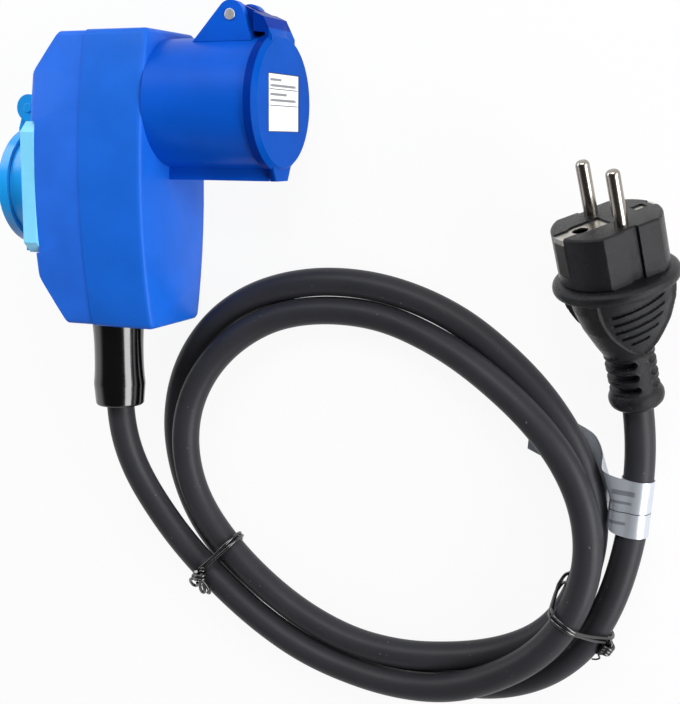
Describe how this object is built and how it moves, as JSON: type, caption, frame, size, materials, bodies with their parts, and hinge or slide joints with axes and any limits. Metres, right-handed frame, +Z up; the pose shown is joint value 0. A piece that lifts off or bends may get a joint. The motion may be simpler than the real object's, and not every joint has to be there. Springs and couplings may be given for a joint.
{
  "type": "power adapter cable",
  "caption": "Adapter head with a lidded round three-pole socket and a lidded mains socket, on a tied coil of rubber cable that ends in an earthed mains plug",
  "frame": {"origin": "middle of the foot of the adapter head's box, which lies on its side; the cord is not counted", "axes": "X points out of the round socket, the cable leaves the head towards -Y, Z is up"},
  "size_m": [0.2572, 0.2642, 0.051],
  "materials": {
    "front_moulding": "satin moulded blue",
    "rear_moulding": "satin moulded blue",
    "pale_moulding": "glossy pale blue",
    "seal": "soft black",
    "sleeve": "glossy black",
    "cable_sheath": "matte dark grey",
    "plug_moulding": "satin dark grey",
    "nickel": "nickel plated",
    "steel": "zinc plated",
    "brass": "turned brass",
    "label": "white film",
    "film": "silver film",
    "tie_wire": "black coated wire",
    "wire_brown": "insulation",
    "wire_blue": "insulation",
    "wire_green": "insulation",
    "clamp": "moulded"
  },
  "bodies": {
    "head": {"front_shell": "front_moulding", "rear_shell": "rear_moulding", "shell_screws": "steel", "round_sleeve": "front_moulding", "round_carrier": "front_moulding", "carrier_screws": "steel", "round_contact_line": "brass", "round_contact_neutral": "brass", "round_contact_earth": "brass", "round_lid_pin": "nickel", "round_lid_spring": "steel", "mains_frame": "pale_moulding", "mains_insert": "pale_moulding", "mains_screws": "steel", "mains_contact_line": "nickel", "mains_contact_neutral": "nickel", "mains_earth_clip": "nickel", "mains_lid_pin": "nickel", "mains_lid_spring": "steel", "wire_line": "wire_brown", "wire_neutral": "wire_blue", "wire_earth": "wire_green", "cord_clamp": "clamp", "clamp_screws": "steel", "bend_sleeve": "sleeve", "cable": "cable_sheath", "plug_body": "plug_moulding", "plug_pins": "nickel", "plug_earth_bracket": "nickel", "left_tie": "tie_wire", "right_tie": "tie_wire", "flag_label": "film"},
    "round_cover": {"round_lid": "front_moulding", "round_lid_seal": "seal", "lid_label": "label"},
    "mains_cover": {"mains_lid": "pale_moulding", "mains_lid_seal": "seal"}
  },
  "joints": [
    {"name": "round_lid_hinge", "type": "hinge", "parent": "head", "child": "round_cover", "pos_m": [0.0392, 0.07255, 0.0255], "axis": [0, 0, 1], "range_deg": [0, 120], "stiffness_Nm_per_rad": 0.02, "springref_deg": -34.38},
    {"name": "mains_lid_hinge", "type": "hinge", "parent": "head", "child": "mains_cover", "pos_m": [-0.0482, 0.03955, 0.0255], "axis": [0, 0, -1], "range_deg": [0, 110], "stiffness_Nm_per_rad": 0.02, "springref_deg": -34.38}
  ]
}
